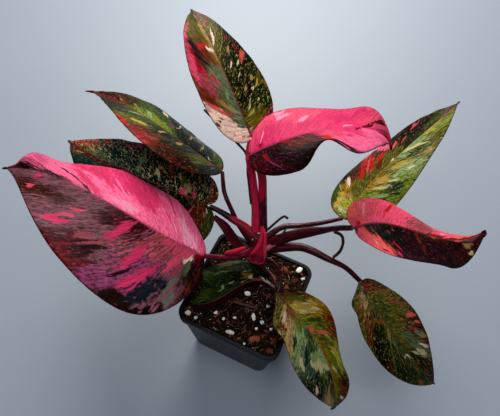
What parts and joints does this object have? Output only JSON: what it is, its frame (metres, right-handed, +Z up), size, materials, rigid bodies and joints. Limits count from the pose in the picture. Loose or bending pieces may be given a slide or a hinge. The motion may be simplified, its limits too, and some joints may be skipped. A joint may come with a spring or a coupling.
{
  "type": "pink princess philodendron in a nursery pot",
  "caption": "Young pink-variegated philodendron with heart-shaped leaves on long red stalks, rooted in bark mix in a square black nursery pot.",
  "frame": {"origin": "centre of the pot's flat base, on the surface that it stands on", "axes": "+Z up along the pot's axis; X and Y square to the pot's sides; the big half-pink leaf reaches towards -X"},
  "size_m": [0.3757, 0.2784, 0.2373],
  "materials": {
    "pot_plastic": "black moulded polypropylene, satin with fine scuffs",
    "potting_mix": "damp dark peat and bark fines with fibres",
    "perlite": "matte white porous crumbs",
    "bark": "matte orange to dark red-brown bark",
    "stem_skin": "waxy dark red-maroon plant skin",
    "petiole_skin": "glossy maroon to crimson plant skin with long pale streaks",
    "sheath_skin": "thin papery crimson sheath",
    "root_skin": "matte dark brown root skin",
    "leaf_marbled": "waxy leaf, hot pink against dark green and maroon marbling",
    "leaf_dark": "glossy dark green-brown leaf with cream and pink specks",
    "leaf_pink": "waxy hot pink leaf with dark maroon half",
    "leaf_lime": "glossy lime and olive leaf marbled with cream"
  },
  "bodies": {
    "root": {"nursery_pot": "pot_plastic", "potting_mix": "potting_mix", "perlite_1": "perlite", "perlite_2": "perlite", "perlite_3": "perlite", "perlite_4": "perlite", "perlite_5": "perlite", "perlite_6": "perlite", "perlite_7": "perlite", "perlite_8": "perlite", "perlite_9": "perlite", "perlite_10": "perlite", "perlite_11": "perlite", "perlite_12": "perlite", "perlite_13": "perlite", "perlite_14": "perlite", "perlite_15": "perlite", "perlite_16": "perlite", "perlite_17": "perlite", "perlite_18": "perlite", "perlite_19": "perlite", "bark_chip_1": "bark", "bark_chip_2": "bark", "bark_chip_3": "bark", "bark_chip_4": "bark", "bark_chip_5": "bark", "bark_chip_6": "bark", "twig": "bark", "stem": "stem_skin", "leaf_front_left": "leaf_marbled", "leaf_middle_left": "leaf_dark", "leaf_upper_left": "leaf_dark", "leaf_top": "leaf_marbled", "leaf_upper_right": "leaf_pink", "leaf_right": "leaf_lime", "leaf_right_front": "leaf_marbled", "leaf_lower_right": "leaf_dark", "leaf_bottom": "leaf_lime", "leaf_low_left": "leaf_dark", "petiole_front_left": "petiole_skin", "petiole_middle_left": "petiole_skin", "petiole_upper_left": "petiole_skin", "petiole_top": "petiole_skin", "petiole_upper_right": "petiole_skin", "petiole_right": "petiole_skin", "petiole_right_front": "petiole_skin", "petiole_lower_right": "petiole_skin", "petiole_bottom": "petiole_skin", "petiole_low_left": "petiole_skin", "sheath_open_red": "sheath_skin", "sheath_old_left": "sheath_skin", "sheath_flap_red": "sheath_skin", "sheath_remnant": "sheath_skin", "aerial_root_long": "root_skin", "aerial_root_hook": "root_skin", "aerial_root_loop": "root_skin", "aerial_root_nub": "root_skin"}
  },
  "joints": []
}
